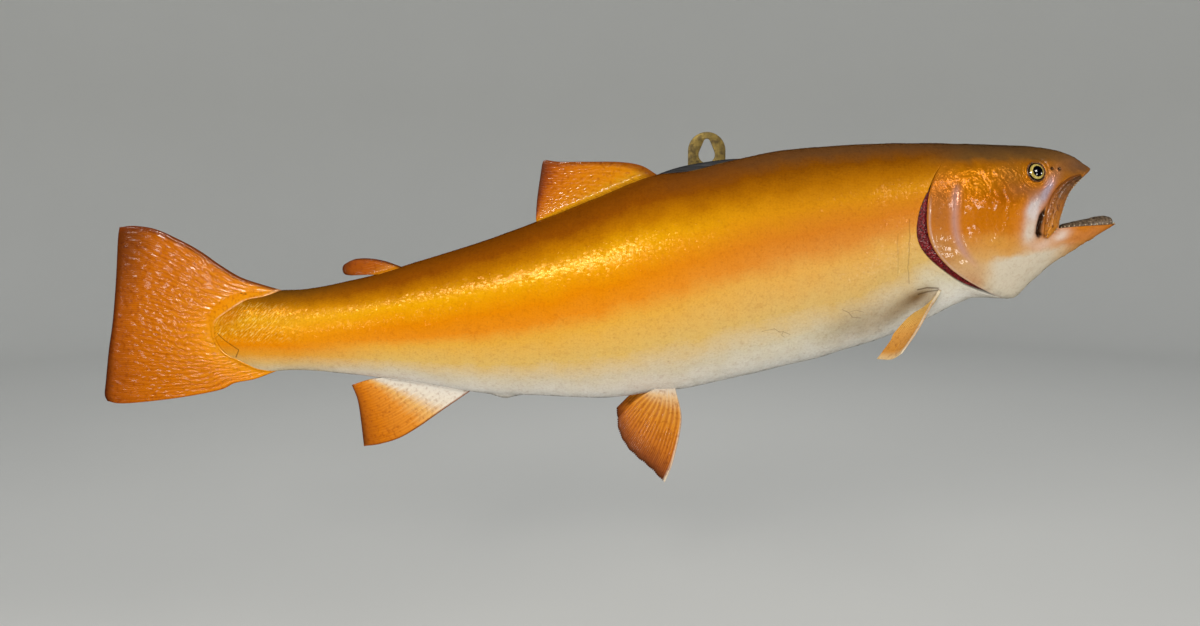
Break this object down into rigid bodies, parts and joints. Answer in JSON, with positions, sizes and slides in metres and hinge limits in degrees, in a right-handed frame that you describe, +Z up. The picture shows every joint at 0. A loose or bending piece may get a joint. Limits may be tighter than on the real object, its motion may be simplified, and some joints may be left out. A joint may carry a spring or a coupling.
{
  "type": "mounted golden rainbow trout",
  "caption": "Golden rainbow trout mounted for a wall, right side out, mouth open and fins spread, on a dark wooden board with a keyhole hanger.",
  "frame": {"origin": "on the back of the board, near its middle, in the plane of the wall", "axes": "+X from the tail to the head, +Y into the wall, +Z up"},
  "size_m": [0.7491, 0.105, 0.2551],
  "materials": {
    "golden_skin": "varnished fish skin, brown-gold back, golden flank, orange stripe and white belly",
    "gill_cover": "varnished, peach to orange",
    "jaw_plate": "varnished, orange with a pale lilac bloom",
    "orange_fin": "varnished, deep orange with darker edges and raised rays",
    "gill_red": "dark red, granular",
    "tongue": "dark grey brown, varnished",
    "glass_eye": "glass eye, black pupil in a gold ring",
    "slate_wood": "dark slate stain, satin",
    "brass": "dull stamped sheet brass"
  },
  "bodies": {
    "root": {"trunk": "golden_skin", "tail_stalk": "golden_skin", "head": "golden_skin", "lower_jaw": "golden_skin", "gill_cover_right": "gill_cover", "gill_cover_left": "gill_cover", "maxilla_right": "jaw_plate", "maxilla_left": "jaw_plate", "gills": "gill_red", "tongue": "tongue", "eye_right": "glass_eye", "eye_left": "glass_eye", "dorsal_fin": "orange_fin", "adipose_fin": "orange_fin", "anal_fin": "orange_fin", "tail_fin": "orange_fin", "pelvic_fin_right": "orange_fin", "pelvic_fin_left": "orange_fin", "pectoral_fin_right": "orange_fin", "pectoral_fin_left": "orange_fin", "back_board": "slate_wood", "hanger_plate": "brass", "hanger_screw_1": "brass", "hanger_screw_2": "brass"}
  },
  "joints": []
}
